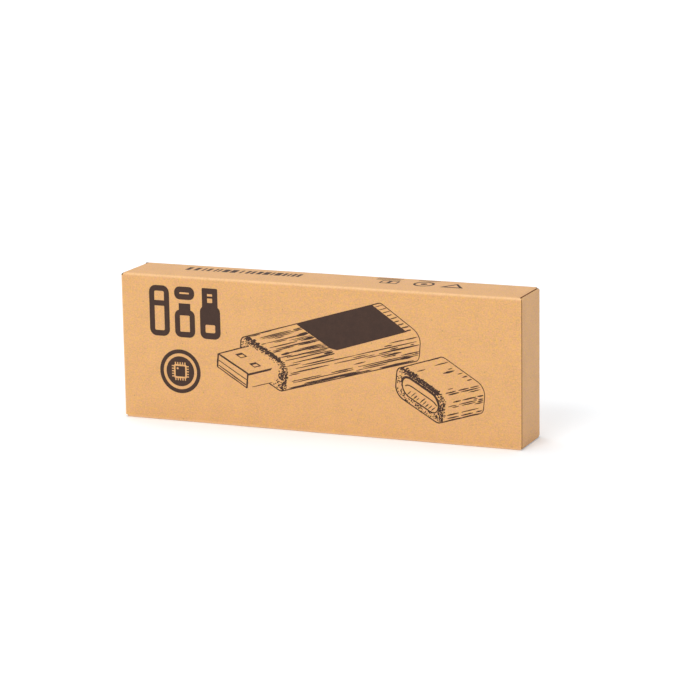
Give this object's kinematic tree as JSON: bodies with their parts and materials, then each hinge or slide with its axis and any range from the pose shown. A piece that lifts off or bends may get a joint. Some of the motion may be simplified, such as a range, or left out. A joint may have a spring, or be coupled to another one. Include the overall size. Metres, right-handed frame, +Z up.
{
  "type": "boxed usb flash drive",
  "caption": "Bamboo USB-A stick with a magnetic pull-off cap, packed in a folded kraft carton with a tuck closure at each end.",
  "frame": {"origin": "centre of the long narrow side that the carton stands on", "axes": "+X along the carton towards the plug end of the drive, -Y out of the printed front panel, +Z up"},
  "size_m": [0.1, 0.014, 0.035],
  "materials": {
    "print_ink": "dark brown printing ink soaked into the board",
    "carton_board": "uncoated kraft board with fine fibres and darker flecks",
    "cradle_card": "uncoated kraft card",
    "bamboo": "oiled laminated bamboo, fine straight grain, end grain dots on the ends",
    "label": "dark stained veneer, satin",
    "core_plastic": "moulded ivory plastic",
    "magnet": "nickel plated magnet",
    "plug_steel": "nickel plated pressed steel",
    "tongue_plastic": "moulded black plastic",
    "contact_gold": "gold plated contacts",
    "solder_mask": "green solder mask",
    "chip_epoxy": "black epoxy package",
    "crystal_can": "small metal can",
    "chip_ceramic": "tan ceramic chip parts"
  },
  "bodies": {
    "carton": {"front_panel": "carton_board", "back_panel": "carton_board", "top_panel": "carton_board", "bottom_panel": "carton_board", "glue_flap": "carton_board", "cradle_web": "cradle_card", "cradle_upper_rail": "cradle_card", "cradle_lower_rail": "cradle_card"},
    "drive": {"body_block": "bamboo", "label_plate": "label", "core_upper_shell": "core_plastic", "core_lower_shell": "core_plastic", "body_magnets": "magnet", "plug_shell": "plug_steel", "plug_tongue": "tongue_plastic", "contact_pins": "contact_gold", "circuit_board": "solder_mask", "memory_chip": "chip_epoxy", "controller_chip": "chip_epoxy", "crystal": "crystal_can", "passives": "chip_ceramic"},
    "cap": {"cap_block": "bamboo", "cap_liner": "core_plastic", "cap_magnets": "magnet"},
    "right_flap": {"right_end_flap": "carton_board"},
    "right_tab": {"right_tuck_tab": "carton_board"},
    "right_upper_dust": {"right_upper_dust_flap": "carton_board"},
    "right_lower_dust": {"right_lower_dust_flap": "carton_board"},
    "left_flap": {"left_end_flap": "carton_board"},
    "left_tab": {"left_tuck_tab": "carton_board"},
    "left_upper_dust": {"left_upper_dust_flap": "carton_board"},
    "left_lower_dust": {"left_lower_dust_flap": "carton_board"}
  },
  "joints": [
    {"name": "drive_slide", "type": "slide", "parent": "carton", "child": "drive", "axis": [1, 0, 0], "range_m": [0, 0.0637]},
    {"name": "cap_pull", "type": "slide", "parent": "drive", "child": "cap", "axis": [1, 0, 0], "range_m": [0, 0.017]},
    {"name": "right_flap_hinge", "type": "hinge", "parent": "carton", "child": "right_flap", "pos_m": [0.0495, 0.0068, 0.0175], "axis": [0, 0, 1], "range_deg": [0, 174]},
    {"name": "right_tab_crease", "type": "hinge", "parent": "right_flap", "child": "right_tab", "pos_m": [0.0495, -0.00615, 0.0175], "axis": [0, 0, 1], "range_deg": [0, 87]},
    {"name": "right_upper_dust_hinge", "type": "hinge", "parent": "carton", "child": "right_upper_dust", "pos_m": [0.049, 0, 0.0348], "axis": [0, -1, 0], "range_deg": [0, 87]},
    {"name": "right_lower_dust_hinge", "type": "hinge", "parent": "carton", "child": "right_lower_dust", "pos_m": [0.049, 0, 0.0002], "axis": [0, 1, 0], "range_deg": [0, 87]},
    {"name": "left_flap_hinge", "type": "hinge", "parent": "carton", "child": "left_flap", "pos_m": [-0.0495, -0.0068, 0.0175], "axis": [0, 0, 1], "range_deg": [0, 170]},
    {"name": "left_tab_crease", "type": "hinge", "parent": "left_flap", "child": "left_tab", "pos_m": [-0.0495, 0.00615, 0.0175], "axis": [0, 0, 1], "range_deg": [0, 85]},
    {"name": "left_upper_dust_hinge", "type": "hinge", "parent": "carton", "child": "left_upper_dust", "pos_m": [-0.049, 0, 0.0348], "axis": [0, 1, 0], "range_deg": [0, 85]},
    {"name": "left_lower_dust_hinge", "type": "hinge", "parent": "carton", "child": "left_lower_dust", "pos_m": [-0.049, 0, 0.0002], "axis": [0, -1, 0], "range_deg": [0, 85]}
  ],
  "couplings": [
    {"joint": "right_flap_hinge", "follows": "drive_slide", "rad_per_m": 47.619},
    {"joint": "right_tab_crease", "follows": "drive_slide", "rad_per_m": 23.809},
    {"joint": "right_upper_dust_hinge", "follows": "drive_slide", "rad_per_m": 23.809},
    {"joint": "right_lower_dust_hinge", "follows": "drive_slide", "rad_per_m": 23.809},
    {"joint": "left_tab_crease", "follows": "left_flap_hinge", "ratio": 0.5},
    {"joint": "left_upper_dust_hinge", "follows": "left_flap_hinge", "ratio": 0.5},
    {"joint": "left_lower_dust_hinge", "follows": "left_flap_hinge", "ratio": 0.5}
  ]
}
